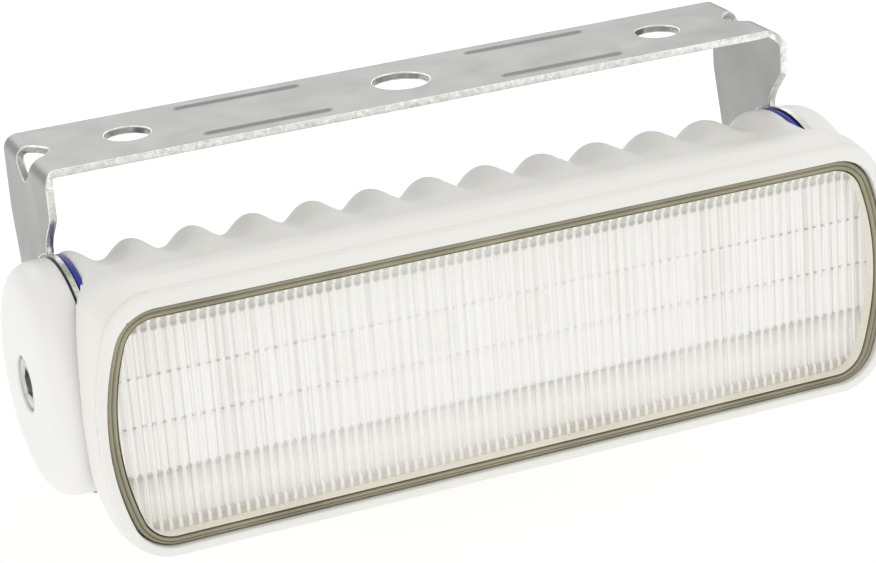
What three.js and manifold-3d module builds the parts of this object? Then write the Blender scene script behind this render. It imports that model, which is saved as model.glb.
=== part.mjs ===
// A white bar-shaped LED fog light hung in a U-shaped stainless steel bracket.
// Millimetres, +Z up. The origin is the centre of the top face of the bracket's plate, X runs along
// the lamp and the lens faces -Y. The lamp tilts about an X axis through both end caps.
import * as THREE from "three";
import { mergeVertices } from "three/addons/utils/BufferGeometryUtils.js";
import Module from "manifold-3d";

const wasm = await Module();
wasm.setup();

// ---- Bracket: folded sheet, with a plate on top and a leg with a round ear at each end.
const SHEET = 1.5;
const PLATE_HALF_WIDTH = 13;
const SPAN_HALF = 75.5; // outside face of a leg
const BEND_OUTER = 2.75;
const BEND_BOTTOM = -5; // where the flat leg takes over from the folded strip
const SIDE_HOLE = { x: 55, radius: 4.3 };
const CENTRE_HOLE_RADIUS = 5.5;
const BEAD = { x0: 18.2, x1: 42.3, y: 9, halfWidth: 1.1, rim: 0.5, depth: 0.5 };
const RELIEF = { halfLength: 3.8, halfWidth: 4.4, inset: 0.8 }; // pointed oval cut across each bend
const EAR_RADIUS = 22.3;
// Edges of a leg as [y, z]: the front one stands proud of the plate and slants back to the ear.
const LEG_REAR_LOW = [13, -14];
const LEG_FRONT = [[-10.6, -14.9], [-11.8, -12.9], [-15.8, -8.5], [-15.8, -2.9]];
const NECK_Y = -10.4; // where the front edge runs into the ear
const RELIEF_STEPS = 12;
const RELIEF_REACH = 8;

// ---- Tilt axis, seen from the origin.
const PIVOT_Y = -15.7;
const PIVOT_Z = -38.15;

// ---- Clamp at each end, measured outwards along X from the middle of the lamp.
const CAP = { inner: 75.8, outer: 83.8, radius: 21.9, edge: 5.2, chamfer: 0.5, mouth: 0.7 };
const RING = { inner: 73.1, outer: 73.7, radius: 22, bore: 8 };
const HEAD = { floor: 77.3, start: 77.6, end: 83.2, radius: 5, edge: 0.4, pocket: 5.3 };
const SOCKET = { radius: 2.9, depth: 2.8 };
const SHANK = { start: 62, radius: 3, clearance: 3.3 };
const INSERT = { start: 60.5, end: 72.5, radius: 4.5 };
const GAP = 0.3; // between pieces that touch
const OVERLAP = 0.5; // how far two bodies of one piece run into each other

// ---- Window: the outline shared by the front lip, gasket and lens. Its ends are bowed outwards and
// its middle is a little below the tilt axis.
const WINDOW = { halfLength: 76.85, halfHeight: 21.75, endRadius: 51.2, corner: 7.4, middle: -0.6 };

// ---- Housing. Depths are along Y from the tilt axis, negative towards the lens.
const END_FACE = 72.8;
const RIDGE = { count: 13, pitch: 11.9, crest: 22.3, valley: 19.4, sharpness: 1.2 };
const LIP_Y = -32.8;
const CAP_CLEARANCE = 22.8;
// depth, half length, half height, corner radius, bow of the ends
const FLARE = [
  [LIP_Y, 79.15, 24.6, 9.3, 5.3],
  [-32.2, 79.5, 25.1, 9.6, 5.3],
  [-29.3, 79.7, 25.5, 9.5, 5.2],
  [-26.3, 79.7, 25.7, 9.0, 5.0],
  [-22.3, 79.6, 25.2, 8.4, 4.9],
  [-19.3, 79.5, 24.4, 8.0, 4.8],
  [-16.3, 79.3, 23.5, 7.6, 4.7],
  [-12.3, 78.9, 22.4, 7.2, 4.6],
  [-9.3, 78.3, 21.8, 6.9, 4.5],
  [-6.3, 77.0, 21.1, 6.4, 4.4],
  [-3.0, 74.0, 19.6, 5.8, 4.2],
];
const POCKET = { offset: 1.0, floor: -27.3 };
const CAVITY = { offset: -2.5, floor: -16.3, halfLength: 68, halfHeight: 15, radius: 16 };
const PIVOT_BOSS = { start: 58, bore: 59.8, radius: 8 };
const BACK_WALL = 17; // a depth inside the wall behind the ridges

// ---- Pieces in the window.
const GASKET = { outer: 0.7, inner: -1, front: -31.7, back: -27.7 };
const LENS = { offset: -1.3, front: -31.2, back: -28.6 };
const FLUTE = { halfHeight: 18.8, pitch: 1.82, rise: 0.7, foot: 0.3 };

// ---- Light engine behind the lens.
const REFLECTOR = { offset: -3, front: -26.9, rim: 1.5, floor: -18, back: -16.8, wall: 1.2 };
const REFLECTOR_FLOOR = { halfLength: 56, halfHeight: 10, endRadius: 60, corner: 3 };
const LED = { count: 6, pitch: 19, size: 5, front: -17.8, back: -16.6, window: 4.2 };
const LED_BOARD = { halfLength: 57.5, halfHeight: 11, front: -16.3, back: -14.7 };
const PAD = { halfLength: 57, halfHeight: 10.5, front: -14.4, back: -13.6 };
const SPREADER = { halfLength: 66, halfHeight: 14, front: -13.3, back: -10.3 };
const SCREW = { x: 61, z: 10.5, radius: 1.5, hole: 1.9, head: 3, headHeight: 1.9, length: 9 };
const POST = { radius: 3.5, spreaderEnd: 13.5 };
const DRIVER = { halfLength: 45, halfHeight: 12, front: -3, back: -1.4, screwX: 38 };
const INDUCTOR = { radius: 5.5, height: 5.3, x: -16, z: 2 };
const CAPACITOR = { radius: 4, height: 6.3, x: 14, z: -3 };

// ---- Cable gland in the middle of the back.
const GLAND = { bossRadius: 8.5, bossEnd: 24.2, bore: 3.6, clearance: 4.9, threadEnd: 29.3, end: 33.2 };
const GLAND_BODY = { start: 15.5, thread: 4.6, hex: 7.6, hexHeight: 3, neck: 5.4 };
const GLAND_NUT = { bore: 5.7, radius: 7.2, chamfer: 1.7, lip: 1.3 };

const COLOURS = {
  white: { color: 0xeceee9, roughness: 0.42, metalness: 0 },
  steel: { color: 0xbec0bc, roughness: 0.32, metalness: 1 },
  blue: { color: 0x283ca8, roughness: 0.4, metalness: 0 },
  seal: { color: 0x6e6855, roughness: 0.6, metalness: 0 },
  clear: { color: 0xf5f3ee, roughness: 0.06, metalness: 0, transparent: true, opacity: 0.35 },
  reflector: { color: 0xf3f2ee, roughness: 0.2, metalness: 0.4 },
  board: { color: 0xf1f1ee, roughness: 0.5, metalness: 0 },
  green: { color: 0x2c6b45, roughness: 0.5, metalness: 0 },
  led: { color: 0xf4d873, roughness: 0.35, metalness: 0 },
  aluminium: { color: 0xc9cbcc, roughness: 0.4, metalness: 1 },
  pad: { color: 0x9aa0a6, roughness: 0.9, metalness: 0 },
  brass: { color: 0xc9a24d, roughness: 0.35, metalness: 1 },
  rubber: { color: 0x1c1c1d, roughness: 0.8, metalness: 0 },
  black: { color: 0x242526, roughness: 0.5, metalness: 0 },
};

// ------------------------------------------------------------------ solids and meshes

// A closed three.js geometry as a solid that can be joined and cut.
function solid(geometry) {
  const bare = geometry.clone();
  for (const name of ["normal", "uv"]) {
    if (bare.getAttribute(name)) bare.deleteAttribute(name);
  }
  const welded = mergeVertices(bare, 1e-4);
  const index = welded.index.array;
  const kept = [];
  for (let i = 0; i < index.length; i += 3) {
    const [a, b, c] = [index[i], index[i + 1], index[i + 2]];
    if (a !== b && b !== c && c !== a) kept.push(a, b, c);
  }
  return new wasm.Manifold(
    new wasm.Mesh({
      numProp: 3,
      vertProperties: welded.attributes.position.array,
      triVerts: new Uint32Array(kept),
    }),
  );
}

function meshOf(name, body, look) {
  const { vertProperties, triVerts } = body.getMesh();
  const geometry = new THREE.BufferGeometry();
  geometry.setAttribute("position", new THREE.BufferAttribute(new Float32Array(vertProperties), 3));
  geometry.setIndex(new THREE.BufferAttribute(new Uint32Array(triVerts), 1));
  geometry.computeVertexNormals();
  const mesh = new THREE.Mesh(geometry, new THREE.MeshStandardMaterial(COLOURS[look]));
  mesh.name = name;
  return mesh;
}

const joined = (bodies) => bodies.reduce((all, next) => all.add(next));
const without = (body, cuts) => cuts.reduce((left, cut) => left.subtract(cut), body);

const AXES = {
  x: new THREE.Vector3(1, 0, 0),
  y: new THREE.Vector3(0, 1, 0),
  z: new THREE.Vector3(0, 0, 1),
};

function extruded(points, depth) {
  return new THREE.ExtrudeGeometry(new THREE.Shape(points), { depth, bevelEnabled: false });
}

// A prism along X whose section is drawn in (y, z).
function prismX(points, x0, x1) {
  const geometry = extruded(points, x1 - x0);
  geometry.applyMatrix4(new THREE.Matrix4().makeBasis(AXES.y, AXES.z, AXES.x));
  return solid(geometry.translate(x0, 0, 0));
}

// A prism along Y whose section is drawn in (x, z).
function prismY(points, y0, y1) {
  const geometry = extruded(points, y1 - y0);
  geometry.applyMatrix4(new THREE.Matrix4().makeBasis(AXES.x, AXES.z, AXES.y.clone().negate()));
  return solid(geometry.translate(0, y1, 0));
}

// A prism along Z whose section is drawn in (x, y).
function prismZ(points, z0, z1) {
  return solid(extruded(points, z1 - z0).translate(0, 0, z0));
}

function box(x0, x1, y0, y1, z0, z1) {
  const geometry = new THREE.BoxGeometry(x1 - x0, y1 - y0, z1 - z0);
  return solid(geometry.translate((x0 + x1) / 2, (y0 + y1) / 2, (z0 + z1) / 2));
}

function circle(radius, steps, u = 0, v = 0) {
  const points = [];
  for (let i = 0; i < steps; i++) {
    const angle = (2 * Math.PI * (i + 0.5)) / steps;
    points.push(new THREE.Vector2(u + radius * Math.cos(angle), v + radius * Math.sin(angle)));
  }
  return points;
}

const rodX = (radius, x0, x1, steps = 20) => prismX(circle(radius, steps), x0, x1);
const rodY = (radius, y0, y1, x, z, steps = 12) => prismY(circle(radius, steps, x, z), y0, y1);

// A turned piece about the X axis, from (radius, x) points that go round its section.
function turnedX(profile, steps) {
  const points = profile.map(([radius, along]) => new THREE.Vector2(radius, along));
  points.push(points[0].clone());
  return solid(new THREE.LatheGeometry(points, steps).rotateZ(-Math.PI / 2));
}

// The same about the Y axis.
function turnedY(profile, steps) {
  const points = profile.map(([radius, along]) => new THREE.Vector2(radius, along));
  points.push(points[0].clone());
  return solid(new THREE.LatheGeometry(points, steps));
}

function arc(centre, radius, from, to, steps) {
  const points = [];
  for (let i = 0; i <= steps; i++) {
    const angle = from + ((to - from) * i) / steps;
    points.push([centre[0] + radius * Math.cos(angle), centre[1] + radius * Math.sin(angle)]);
  }
  return points;
}

// ------------------------------------------------------------------ window outline

// A long rounded rectangle with bowed ends, always with the same number of points.
function outline(halfLength, halfHeight, endRadius, corner) {
  const bowX = halfLength - endRadius;
  const filletZ = halfHeight - corner;
  const filletX = bowX + Math.sqrt((endRadius - corner) ** 2 - filletZ ** 2);
  const touch = Math.atan2(filletZ, filletX - bowX);
  const upper = [
    ...arc([bowX, 0], endRadius, 0, touch, 5).slice(0, -1),
    ...arc([filletX, filletZ], corner, touch, Math.PI / 2, 5),
  ];
  const right = [...upper.slice(1).reverse().map(([x, z]) => [x, -z]), ...upper];
  const left = right.map(([x, z]) => [-x, -z]);
  return [...right, ...left].map(([x, z]) => new THREE.Vector2(x, z));
}

function windowOutline(offset) {
  const points = outline(
    WINDOW.halfLength + offset,
    WINDOW.halfHeight + offset,
    WINDOW.endRadius + offset,
    WINDOW.corner + offset,
  );
  return points.map((point) => point.setY(point.y + WINDOW.middle));
}

// Joins rings of points (one ring per depth, front first) into one closed solid.
function loft(rings) {
  const positions = rings.flatMap(({ depth, points }) => points.flatMap((p) => [p.x, depth, p.y]));
  const size = rings[0].points.length;
  const index = [];
  for (let ring = 0; ring < rings.length - 1; ring++) {
    for (let i = 0; i < size; i++) {
      const [a, b] = [ring * size + i, ring * size + ((i + 1) % size)];
      index.push(a, a + size, b, b, a + size, b + size);
    }
  }
  const caps = THREE.ShapeUtils.triangulateShape(rings[0].points, []);
  const last = (rings.length - 1) * size;
  for (const [a, b, c] of caps) {
    index.push(a, b, c, last + a, last + c, last + b);
  }
  const geometry = new THREE.BufferGeometry();
  geometry.setAttribute("position", new THREE.Float32BufferAttribute(positions, 3));
  geometry.setIndex(index);
  return solid(geometry);
}

// ------------------------------------------------------------------ bracket

function foldedStrip() {
  const inner = BEND_OUTER - SHEET;
  const bendX = SPAN_HALF - BEND_OUTER;
  const outside = arc([bendX, -BEND_OUTER], BEND_OUTER, 0, Math.PI / 2, 6);
  const inside = arc([bendX, -BEND_OUTER], inner, Math.PI / 2, 0, 6);
  const right = [[SPAN_HALF, BEND_BOTTOM], ...outside];
  const underRight = [...inside, [SPAN_HALF - SHEET, BEND_BOTTOM]];
  const mirrored = (points) => points.map(([x, z]) => [-x, z]).reverse();
  const section = [...right, ...mirrored(right), ...mirrored(underRight), ...underRight];
  const points = section.map(([x, z]) => new THREE.Vector2(x, z));
  return prismY(points, -PLATE_HALF_WIDTH, PLATE_HALF_WIDTH);
}

// One leg in (y, z): down from the bend, wider at the front, then the round ear.
function legOutline() {
  const rear = [LEG_REAR_LOW[0] - PIVOT_Y, LEG_REAR_LOW[1] - PIVOT_Z];
  const tangent = Math.atan2(rear[1], rear[0]) - Math.acos(EAR_RADIUS / Math.hypot(...rear));
  const neck = Math.acos((NECK_Y - PIVOT_Y) / EAR_RADIUS);
  const ear = arc([PIVOT_Y, PIVOT_Z], EAR_RADIUS, tangent, neck - 2 * Math.PI, 30);
  const top = [PLATE_HALF_WIDTH, LEG_FRONT.at(-1)[1]];
  const points = [top, LEG_REAR_LOW, ...ear, ...LEG_FRONT];
  return points.map(([y, z]) => new THREE.Vector2(y, z)).reverse();
}

function bead(x0, x1, y, halfWidth, z0, z1) {
  const left = arc([x0, y], halfWidth, Math.PI / 2, (3 * Math.PI) / 2, 6);
  const right = arc([x1, y], halfWidth, -Math.PI / 2, Math.PI / 2, 6);
  const points = [...left, ...right].map(([u, v]) => new THREE.Vector2(u, v));
  return prismZ(points, z0, z1);
}

// A pointed oval prism that goes through a bend at 45 degrees.
function bendRelief(side) {
  const { halfLength, halfWidth, inset } = RELIEF;
  const points = [];
  for (const edge of [-1, 1]) {
    for (let i = 0; i < RELIEF_STEPS; i++) {
      const along = edge * ((2 * i) / RELIEF_STEPS - 1);
      points.push(new THREE.Vector2(along * halfLength, edge * halfWidth * (along ** 2 - 1)));
    }
  }
  const geometry = extruded(points, 2 * RELIEF_REACH).translate(0, 0, -RELIEF_REACH);
  geometry.rotateY(-Math.PI / 4);
  geometry.translate(SPAN_HALF - inset, 0, -inset);
  if (side < 0) geometry.rotateZ(Math.PI);
  return solid(geometry);
}

function bracket() {
  const leg = prismX(legOutline(), SPAN_HALF - SHEET, SPAN_HALF);
  const turned = new THREE.Matrix4().makeTranslation(-2 * SPAN_HALF + SHEET, 0, 0);
  const otherLeg = leg.transform(turned.elements);
  const ribs = [];
  const grooves = [];
  for (const side of [-1, 1]) {
    for (const y of [-BEAD.y, BEAD.y]) {
      const [x0, x1] = side > 0 ? [BEAD.x0, BEAD.x1] : [-BEAD.x1, -BEAD.x0];
      ribs.push(bead(x0, x1, y, BEAD.halfWidth + BEAD.rim, -SHEET - BEAD.depth, -SHEET / 2));
      grooves.push(bead(x0, x1, y, BEAD.halfWidth, -BEAD.depth, 1));
    }
  }
  const holes = [
    prismZ(circle(CENTRE_HOLE_RADIUS, 24), -5, 5),
    prismZ(circle(SIDE_HOLE.radius, 20, SIDE_HOLE.x), -5, 5),
    prismZ(circle(SIDE_HOLE.radius, 20, -SIDE_HOLE.x), -5, 5),
    prismX(circle(SHANK.clearance, 16, PIVOT_Y, PIVOT_Z), -80, 80),
    bendRelief(1),
    bendRelief(-1),
  ];
  return without(joined([foldedStrip(), leg, otherLeg, ...ribs]), [...grooves, ...holes]);
}

// ------------------------------------------------------------------ end clamp, made for the +X end

function endCap() {
  const { inner, outer, radius, edge, chamfer, mouth } = CAP;
  const rounded = arc([radius - edge, outer - edge], edge, 0, Math.PI / 2, 5);
  const profile = [
    [SHANK.clearance, inner],
    [radius - chamfer, inner],
    [radius, inner + chamfer],
    ...rounded,
    [HEAD.pocket + mouth, outer],
    [HEAD.pocket, outer - mouth],
    [HEAD.pocket, HEAD.floor],
    [SHANK.clearance, HEAD.floor],
  ];
  return turnedX(profile, 36);
}

function frictionRing() {
  const { inner, outer, radius, bore } = RING;
  return turnedX([[bore, inner], [radius, inner], [radius, outer], [bore, outer]], 36);
}

function clampBolt() {
  const { start, end, radius, edge } = HEAD;
  const crown = rodX(radius - edge, end - OVERLAP, end, 24);
  const head = rodX(radius, start, end - edge, 24);
  const shank = rodX(SHANK.radius, SHANK.start, start + OVERLAP, 16);
  return joined([head, crown, shank]).subtract(rodX(SOCKET.radius, end - SOCKET.depth, end + 1, 6));
}

function threadedInsert() {
  const { start, end, radius } = INSERT;
  return turnedX([[SHANK.clearance, start], [radius, start], [radius, end], [SHANK.clearance, end]], 16);
}

// ------------------------------------------------------------------ housing

function flare() {
  return loft(
    FLARE.map(([depth, halfLength, halfHeight, corner, bow]) => {
      const endRadius = (halfHeight ** 2 + bow ** 2) / (2 * bow);
      return { depth, points: outline(halfLength, halfHeight, endRadius, corner) };
    }),
  );
}

// A barrel along X whose radius swells into 13 rounded ridges.
function ridgedBarrel() {
  const perRidge = 6;
  const around = 26;
  const steps = (RIDGE.count - 1) * perRidge + 2;
  const geometry = new THREE.CylinderGeometry(1, 1, steps, around, steps);
  geometry.rotateZ(-Math.PI / 2);
  const position = geometry.getAttribute("position");
  for (let i = 0; i < position.count; i++) {
    const along = (position.getX(i) * RIDGE.pitch) / perRidge;
    const x = THREE.MathUtils.clamp(along, -END_FACE, END_FACE);
    const wave = (0.5 + 0.5 * Math.cos((2 * Math.PI * x) / RIDGE.pitch)) ** RIDGE.sharpness;
    const radius = RIDGE.valley + (RIDGE.crest - RIDGE.valley) * wave;
    position.setXYZ(i, x, position.getY(i) * radius, position.getZ(i) * radius);
  }
  return solid(geometry);
}

function cavity() {
  const { halfLength, halfHeight, radius, floor, offset } = CAVITY;
  return joined([
    prismY(windowOutline(offset), POCKET.floor - 1, floor),
    box(-halfLength, halfLength, floor - 1, 0, -halfHeight, halfHeight),
    rodX(radius, -halfLength, halfLength, 20),
  ]);
}

// The places of the four spreader screws, seen from the front.
const CORNERS = [
  { name: "upper_left", x: -SCREW.x, z: SCREW.z },
  { name: "upper_right", x: SCREW.x, z: SCREW.z },
  { name: "lower_left", x: -SCREW.x, z: -SCREW.z },
  { name: "lower_right", x: SCREW.x, z: -SCREW.z },
];

function screwPosts() {
  const corners = CORNERS.map(({ x, z }) => rodY(POST.radius, SPREADER.back + GAP, POST.spreaderEnd, x, z));
  const middle = [-DRIVER.screwX, DRIVER.screwX].map((x) =>
    rodY(POST.radius, DRIVER.back + GAP, BACK_WALL, x, 0),
  );
  return [...corners, ...middle];
}

function postHoles() {
  const end = SCREW.length + 1;
  const corners = CORNERS.map(({ x, z }) => rodY(SCREW.hole, SPREADER.back, SPREADER.front + end, x, z));
  const middle = [-DRIVER.screwX, DRIVER.screwX].map((x) =>
    rodY(SCREW.hole, DRIVER.back, DRIVER.front + end, x, 0),
  );
  return [...corners, ...middle];
}

function housing() {
  const beyond = CAP.outer + 1;
  const boss = rodY(GLAND.bossRadius, BACK_WALL - 1, GLAND.bossEnd, 0, 0, 24);
  const shell = without(joined([flare(), ridgedBarrel(), boss]), [
    rodX(CAP_CLEARANCE, END_FACE, beyond, 48),
    rodX(CAP_CLEARANCE, -beyond, -END_FACE, 48),
    prismY(windowOutline(POCKET.offset), LIP_Y - 1, POCKET.floor),
    cavity(),
  ]);
  const bosses = [
    rodX(PIVOT_BOSS.radius, PIVOT_BOSS.start, END_FACE - OVERLAP),
    rodX(PIVOT_BOSS.radius, OVERLAP - END_FACE, -PIVOT_BOSS.start),
    ...screwPosts(),
  ];
  return without(joined([shell, ...bosses]), [
    rodX(INSERT.radius + GAP, PIVOT_BOSS.bore, END_FACE + 1),
    rodX(INSERT.radius + GAP, -END_FACE - 1, -PIVOT_BOSS.bore),
    ...postHoles(),
    rodY(GLAND.clearance, CAVITY.halfHeight - 1, GLAND.bossEnd + 1, 0, 0, 16),
  ]);
}

// ------------------------------------------------------------------ window pieces

function gasket() {
  const ring = prismY(windowOutline(GASKET.outer), GASKET.front, GASKET.back);
  return ring.subtract(prismY(windowOutline(GASKET.inner), GASKET.front - 1, GASKET.back + 1));
}

// A clear plate with upright flutes on its inner face.
function lens() {
  const blank = windowOutline(LENS.offset);
  const plate = prismY(blank, LENS.front, LENS.back);
  const flutes = Math.floor((2 * (WINDOW.halfLength - 1)) / FLUTE.pitch);
  const start = (-flutes * FLUTE.pitch) / 2;
  const profile = [[0, 0], [FLUTE.foot, FLUTE.rise], [1 - FLUTE.foot, FLUTE.rise]];
  const wave = [];
  for (let i = 0; i < flutes; i++) {
    for (const [along, rise] of profile) {
      wave.push(new THREE.Vector2(start + (i + along) * FLUTE.pitch, LENS.back + rise));
    }
  }
  wave.push(new THREE.Vector2(-start, LENS.back), new THREE.Vector2(-start, LENS.back - 1));
  wave.push(new THREE.Vector2(start, LENS.back - 1));
  const { middle } = WINDOW;
  const fluted = prismZ(wave, middle - FLUTE.halfHeight, middle + FLUTE.halfHeight);
  return plate.add(fluted.intersect(prismY(blank, LENS.front, LENS.back + 2 * FLUTE.rise)));
}

// ------------------------------------------------------------------ light engine

const ledXs = Array.from({ length: LED.count }, (_, i) => (i - (LED.count - 1) / 2) * LED.pitch);

// A tray whose walls slope from the window in to a flat floor with one window per LED.
function reflector() {
  const { offset, front, rim, floor, back, wall } = REFLECTOR;
  const { halfLength, halfHeight, endRadius, corner } = REFLECTOR_FLOOR;
  const edge = windowOutline(offset);
  const innerEdge = windowOutline(offset - wall);
  const outside = loft([
    { depth: front, points: edge },
    { depth: front + rim, points: edge },
    { depth: back, points: outline(halfLength, halfHeight, endRadius, corner) },
  ]);
  const inside = loft([
    { depth: front - 1, points: innerEdge },
    { depth: front + rim - OVERLAP, points: innerEdge },
    { depth: floor, points: outline(halfLength - wall, halfHeight - wall, endRadius, corner - OVERLAP) },
  ]);
  const windows = ledXs.map((x) => rodY(LED.window, floor - 1, back + 1, x, 0));
  return without(outside, [inside, ...windows]);
}

function plateY({ halfLength, halfHeight, front, back }) {
  return box(-halfLength, halfLength, front, back, -halfHeight, halfHeight);
}

function spreader() {
  const { front, back } = SPREADER;
  const holes = CORNERS.map(({ x, z }) => rodY(SCREW.hole, front - 1, back + 1, x, z));
  return without(plateY(SPREADER), holes);
}

function driverBoard() {
  const holes = [-DRIVER.screwX, DRIVER.screwX].map((x) =>
    rodY(SCREW.hole, DRIVER.front - 1, DRIVER.back + 1, x, 0),
  );
  return without(plateY(DRIVER), holes);
}

// A part of the driver that stands on the front of its board.
function onDriver({ radius, height, x, z }) {
  const foot = DRIVER.front - GAP;
  return rodY(radius, foot - height, foot, x, z, 20);
}

// A pan-head screw along +Y whose head bears on the face at `face`.
function screw(x, z, face) {
  const seat = face - GAP;
  return joined([
    rodY(SCREW.head, seat - SCREW.headHeight, seat, x, z, 16),
    rodY(SCREW.radius, seat - OVERLAP, seat + SCREW.length, x, z),
  ]);
}

// ------------------------------------------------------------------ cable gland

// A turned tube about the Y axis with square ends.
function tube(bore, radius, start, end, steps = 16) {
  return turnedY([[bore, start], [radius, start], [radius, end], [bore, end]], steps);
}

function glandBody() {
  const { bore, bossEnd, threadEnd } = GLAND;
  const { start, thread, hex, hexHeight, neck } = GLAND_BODY;
  const seat = bossEnd + GAP;
  const flats = prismY(circle(hex, 6), seat, seat + hexHeight);
  return joined([
    tube(bore, thread, start, seat + OVERLAP),
    flats.subtract(rodY(bore, seat - 1, threadEnd, 0, 0, 16)),
    tube(bore, neck, seat + hexHeight - OVERLAP, threadEnd),
  ]);
}

function glandSeal() {
  const start = GLAND.threadEnd + GAP;
  return tube(GLAND.bore, GLAND_BODY.neck, start, start + GLAND_NUT.lip);
}

function glandNut() {
  const { bore, radius, chamfer, lip } = GLAND_NUT;
  const start = GLAND.bossEnd + GLAND_BODY.hexHeight + 2 * GAP;
  const shelf = GLAND.threadEnd + lip + 2 * GAP;
  return turnedY(
    [
      [bore, start],
      [radius, start],
      [radius, GLAND.end - chamfer],
      [bore, GLAND.end],
      [GLAND.bore, GLAND.end],
      [GLAND.bore, shelf],
      [bore, shelf],
    ],
    20,
  );
}

// ------------------------------------------------------------------ assembly

const part = new THREE.Group();
part.add(meshOf("bracket", bracket(), "steel"));

const axis = new THREE.Group();
axis.position.set(0, PIVOT_Y, PIVOT_Z);
part.add(axis);

for (const side of ["right", "left"]) {
  const end = new THREE.Group();
  if (side === "left") end.rotation.z = Math.PI;
  end.add(
    meshOf(`${side}_end_cap`, endCap(), "white"),
    meshOf(`${side}_clamp_bolt`, clampBolt(), "steel"),
    meshOf(`${side}_friction_ring`, frictionRing(), "blue"),
    meshOf(`${side}_threaded_insert`, threadedInsert(), "brass"),
  );
  axis.add(end);
}

axis.add(
  meshOf("housing", housing(), "white"),
  meshOf("lens_gasket", gasket(), "seal"),
  meshOf("lens", lens(), "clear"),
  meshOf("reflector", reflector(), "reflector"),
  meshOf("led_board", plateY(LED_BOARD), "board"),
  meshOf("thermal_pad", plateY(PAD), "pad"),
  meshOf("heat_spreader", spreader(), "aluminium"),
  meshOf("driver_board", driverBoard(), "green"),
  meshOf("driver_inductor", onDriver(INDUCTOR), "black"),
  meshOf("driver_capacitor", onDriver(CAPACITOR), "aluminium"),
  meshOf("gland_body", glandBody(), "black"),
  meshOf("gland_seal", glandSeal(), "rubber"),
  meshOf("gland_nut", glandNut(), "black"),
);

ledXs.forEach((x, i) => {
  const half = LED.size / 2;
  axis.add(meshOf(`led_${i + 1}`, box(x - half, x + half, LED.front, LED.back, -half, half), "led"));
});

for (const { name, x, z } of CORNERS) {
  axis.add(meshOf(`${name}_spreader_screw`, screw(x, z, SPREADER.front), "steel"));
}
for (const [place, sideX] of [["left", -1], ["right", 1]]) {
  axis.add(meshOf(`${place}_driver_screw`, screw(sideX * DRIVER.screwX, 0, DRIVER.front), "steel"));
}

export default part;
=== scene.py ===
import math

import bpy
import numpy as np
from mathutils import Matrix, Vector
from mathutils.geometry import delaunay_2d_cdt


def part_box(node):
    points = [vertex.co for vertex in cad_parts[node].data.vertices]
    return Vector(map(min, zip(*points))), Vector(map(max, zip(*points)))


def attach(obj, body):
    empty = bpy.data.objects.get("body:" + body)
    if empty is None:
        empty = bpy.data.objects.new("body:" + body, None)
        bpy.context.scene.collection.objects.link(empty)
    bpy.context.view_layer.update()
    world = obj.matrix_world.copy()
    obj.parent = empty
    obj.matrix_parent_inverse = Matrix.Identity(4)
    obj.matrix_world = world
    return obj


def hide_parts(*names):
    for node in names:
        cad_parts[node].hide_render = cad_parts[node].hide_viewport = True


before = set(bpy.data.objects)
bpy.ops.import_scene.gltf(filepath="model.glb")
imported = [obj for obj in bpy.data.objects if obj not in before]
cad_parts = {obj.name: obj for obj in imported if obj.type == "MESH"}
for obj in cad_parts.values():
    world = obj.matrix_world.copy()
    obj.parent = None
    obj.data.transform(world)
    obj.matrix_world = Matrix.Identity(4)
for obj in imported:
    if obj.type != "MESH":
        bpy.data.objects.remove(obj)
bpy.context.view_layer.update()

MM = 0.001
CAP_LOW, CAP_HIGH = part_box("left_end_cap")
AXIS_Y = (CAP_LOW.y + CAP_HIGH.y) / 2 / MM
AXIS_Z = (CAP_LOW.z + CAP_HIGH.z) / 2 / MM

# ---- Bracket
SHEET = 1.5
PLATE_HALF = 13.0
BEND_START = 72.75
BEND_OUTER = 2.75
BEND_LENGTH = BEND_OUTER * math.pi / 2
BEND_STEPS = 12
HOLES = [(-55.0, 4.3), (0.0, 5.5), (55.0, 4.3)]
BEAD = {"start": 18.4, "end": 42.1, "y": 9.0, "outer": 1.45, "inner": 0.1, "depth": 0.45}
RELIEF = {"half_length": 4.9, "half_width": 4.4, "bulge": 0.25, "steps": 33}
EAR_RADIUS = 22.3
LEG_FRONT = -15.8
# (height, y, fillet radius) down a leg's front edge
LEG_CORNERS = [(-8.5, LEG_FRONT, 2.0), (-12.9, -11.8, 1.2), (-14.9, -10.6, 0.4)]
LEG_REAR_LOW = -14.0
SHOULDER = {"inset": 0.6, "fillet": 1.3}
NECK_Y = -10.4
EAR_BORE = 3.3
EDGE_ROUND = 0.25

# ---- End clamp, outwards along X
CAP = {"inner": 75.53, "outer": 83.8, "radius": 21.9, "hole": 5.3, "floor": 77.3, "bore": 3.3}
RING = {"inner": 72.85, "outer": 73.95, "radius": 22.0, "bore": 8.0}
HEAD = {"start": 77.6, "end": 83.3, "radius": 5.15, "hex": 2.9, "socket": 2.8}
SHANK = {"start": 62.0, "radius": 3.0}
DOME = {"edge": 1.1, "flat": 1.2, "roundness": 0.52, "rise": 0.62}

# ---- Window and housing; depths along Y from the tilt axis
WINDOW = {"half_length": 76.85, "half_height": 21.75, "end_radius": 51.2, "corner": 7.4}
WINDOW_MIDDLE = -0.6
WINDOW_STEPS = {"corner": 14, "end": 24, "top": 40}
LIP_Y = -32.8
END_FACE = 72.8
RIDGE = {"pitch": 11.9, "crest": 22.25, "valley": 19.3, "sharpness": 1.2}
CAP_CLEARANCE = 22.8
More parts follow.
